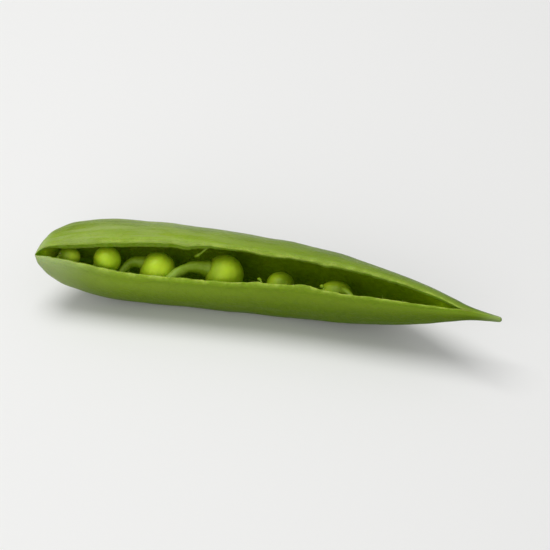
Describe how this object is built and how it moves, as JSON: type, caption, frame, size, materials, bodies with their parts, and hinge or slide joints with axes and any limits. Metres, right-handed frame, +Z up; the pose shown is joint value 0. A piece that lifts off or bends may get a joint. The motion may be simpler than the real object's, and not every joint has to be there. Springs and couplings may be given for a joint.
{
  "type": "sugar snap pea",
  "caption": "Curved green pea pod split open along its upper seam, showing round peas on short stalks inside; it lies on the flank of one valve.",
  "frame": {"origin": "on the table, under the middle of the lying pod's box", "axes": "+X along the pod from the blossom end to the stalk, +Z up; the split faces up and towards -Y"},
  "size_m": [0.0788, 0.0158, 0.0141],
  "materials": {
    "pod_flesh": "satin",
    "seed_coat": "satin",
    "pale_flesh": "satin"
  },
  "bodies": {
    "root": {"pod": "pod_flesh", "pea_1": "seed_coat", "pea_2": "seed_coat", "pea_3": "seed_coat", "pea_4": "seed_coat", "pea_5": "seed_coat", "pea_6": "seed_coat", "seed_stalk_1": "pale_flesh", "seed_stalk_2": "pale_flesh", "seed_stalk_3": "pale_flesh", "seed_stalk_4": "pale_flesh", "seed_stalk_5": "pale_flesh", "seed_stalk_6": "pale_flesh", "ovule_1": "pale_flesh", "ovule_2": "pale_flesh", "ovule_3": "pale_flesh"}
  },
  "joints": []
}
